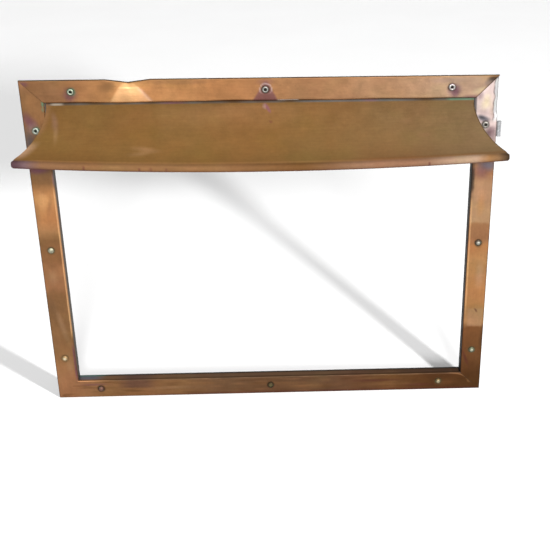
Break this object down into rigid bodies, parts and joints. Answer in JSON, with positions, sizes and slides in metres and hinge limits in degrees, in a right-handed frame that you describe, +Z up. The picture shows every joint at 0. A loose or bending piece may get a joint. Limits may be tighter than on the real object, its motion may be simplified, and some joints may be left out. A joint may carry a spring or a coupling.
{
  "type": "fireplace frame with hood",
  "caption": "Upright rectangular metal frame with mitred, riveted sheet cladding, and a flared, hollow-curved hood across its top that catches smoke in front of a fireplace opening.",
  "frame": {"origin": "on the rear edge of the bottom steel angle, midway across the frame, where the frame bears on the surround", "axes": "+X to the viewer's right across the width, +Y backwards into the fireplace, +Z up; the hood projects towards -Y"},
  "size_m": [0.724, 0.0885, 0.535],
  "materials": {
    "copper_strip": "worn, hand-polished copper with brown patina",
    "copper_hood": "brown copper patina, satin",
    "frame_steel": "dark oxidised mild steel",
    "lug_steel": "bare grey steel",
    "rivet_metal": "dull, pale, with verdigris round the edge",
    "mandrel_steel": "dark broken pin"
  },
  "bodies": {
    "root": {"copper_strip_top": "copper_strip", "copper_strip_bottom": "copper_strip", "copper_strip_left": "copper_strip", "copper_strip_right": "copper_strip", "steel_angle_top": "frame_steel", "steel_angle_bottom": "frame_steel", "steel_angle_left": "frame_steel", "steel_angle_right": "frame_steel", "hood_sheet": "copper_hood", "hood_edge_rod": "frame_steel", "fixing_lug": "lug_steel", "rivet_top_left": "rivet_metal", "rivet_top_centre": "rivet_metal", "rivet_top_right": "rivet_metal", "rivet_left_upper": "rivet_metal", "rivet_left_middle": "rivet_metal", "rivet_left_lower": "rivet_metal", "rivet_right_upper": "rivet_metal", "rivet_right_middle": "rivet_metal", "rivet_right_lower": "rivet_metal", "rivet_bottom_left": "rivet_metal", "rivet_bottom_centre": "rivet_metal", "rivet_bottom_right": "rivet_metal", "mandrel_top_left": "mandrel_steel", "mandrel_top_centre": "mandrel_steel", "mandrel_top_right": "mandrel_steel", "mandrel_left_upper": "mandrel_steel", "mandrel_right_upper": "mandrel_steel", "hood_rivet_left": "rivet_metal", "hood_rivet_centre": "rivet_metal", "hood_rivet_right": "rivet_metal"}
  },
  "joints": []
}
